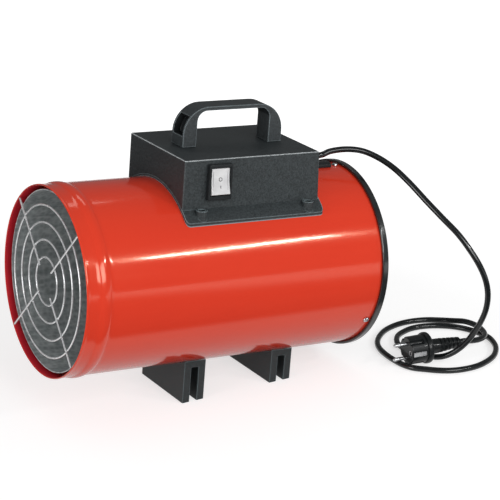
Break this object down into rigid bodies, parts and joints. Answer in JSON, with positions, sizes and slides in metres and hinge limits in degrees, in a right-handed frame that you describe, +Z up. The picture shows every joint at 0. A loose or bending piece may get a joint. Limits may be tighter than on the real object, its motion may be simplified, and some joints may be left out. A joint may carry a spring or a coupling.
{
  "type": "forced air heater",
  "caption": "Tube-shaped gas-fired forced air heater on two channel feet, with a control box, carrying handle, wire grilles, fan, burner, rocker switch, push buttons, cord and plug.",
  "frame": {"origin": "the centre of the heater's own box, without its cord, at the soles of the feet", "axes": "+X from the outlet to the air inlet, +Y to the side away from the switch, +Z up"},
  "size_m": [0.6131, 0.2896, 0.3571],
  "materials": {
    "red_paint": "gloss red powder paint",
    "galvanised_steel": "galvanised sheet",
    "bright_wire": "bright zinc-plated wire",
    "black_wire": "black coated wire",
    "black_trim": "gloss black edge trim",
    "fan_plastic": "moulded black",
    "zinc": "zinc plated",
    "aluminium": "cast",
    "burner_steel": "heat-toned steel",
    "brass": "turned brass",
    "copper": "bare copper pipe",
    "ceramic": "glazed ceramic",
    "box_plastic": "grained dark slate plastic",
    "dark_plastic": "black plastic",
    "white_plastic": "gloss white",
    "red_plastic": "gloss red",
    "lead_rubber": "black insulation",
    "foot_plastic": "dark slate plastic",
    "plug_rubber": "satin black",
    "nickel": "nickel plated",
    "cord_rubber": "gloss black sheath"
  },
  "bodies": {
    "root": {"casing_tube": "red_paint", "inner_tube": "galvanised_steel", "outlet_grille": "bright_wire", "rear_guard": "black_wire", "rear_edge_trim": "black_trim", "motor_body": "aluminium", "motor_bracket": "galvanised_steel", "burner_cone": "burner_steel", "burner_spider": "galvanised_steel", "gas_nozzle": "brass", "gas_pipe": "copper", "spark_electrode": "ceramic", "flame_sensor": "zinc", "control_box": "box_plastic", "carrying_handle": "box_plastic", "switch_housing": "dark_plastic", "valve_guide": "dark_plastic", "igniter_guide": "dark_plastic", "gas_valve": "brass", "gas_inlet": "brass", "terminal_block": "ceramic", "overheat_thermostat": "zinc", "ignition_lead": "lead_rubber", "flame_sensor_lead": "lead_rubber", "motor_lead": "lead_rubber", "supply_lead": "lead_rubber", "switch_lead": "lead_rubber", "wire_cover": "dark_plastic", "front_foot": "foot_plastic", "rear_foot": "foot_plastic", "box_screw_1": "zinc", "box_screw_2": "zinc", "box_screw_3": "zinc", "box_screw_4": "zinc", "foot_screw_1": "zinc", "foot_screw_2": "zinc", "foot_screw_3": "zinc", "foot_screw_4": "zinc", "guard_screw_1": "zinc", "guard_screw_2": "zinc", "guard_screw_3": "zinc", "handle_screw_1": "zinc", "handle_screw_2": "zinc", "cord_gland": "dark_plastic", "strain_relief": "dark_plastic", "plug_body": "plug_rubber", "plug_pin_upper": "nickel", "plug_pin_lower": "nickel", "plug_earth_socket": "nickel", "plug_earth_clip_near": "nickel", "plug_earth_clip_far": "nickel", "cord_fall": "cord_rubber", "cord_loops": "cord_rubber"},
    "fan_rotor": {"fan_impeller": "fan_plastic", "motor_shaft": "zinc"},
    "switch_rocker": {"switch_rocker": "white_plastic"},
    "valve_button": {"valve_button": "red_plastic"},
    "igniter_button": {"igniter_button": "dark_plastic"}
  },
  "joints": [
    {"name": "fan_spin", "type": "hinge", "parent": "root", "child": "fan_rotor", "pos_m": [0.10626, 0, 0.14381], "axis": [0.9962, 0, -0.0872], "continuous": true},
    {"name": "rocker_tilt", "type": "hinge", "parent": "root", "child": "switch_rocker", "pos_m": [-0.00767, -0.07, 0.28267], "axis": [0.9962, 0, -0.0872], "range_deg": [0, 20]},
    {"name": "valve_press", "type": "slide", "parent": "root", "child": "valve_button", "axis": [0, -1, 0], "range_m": [0, 0.007], "stiffness_N_per_m": 400},
    {"name": "igniter_press", "type": "slide", "parent": "root", "child": "igniter_button", "axis": [0, -1, 0], "range_m": [0, 0.006], "stiffness_N_per_m": 600}
  ]
}
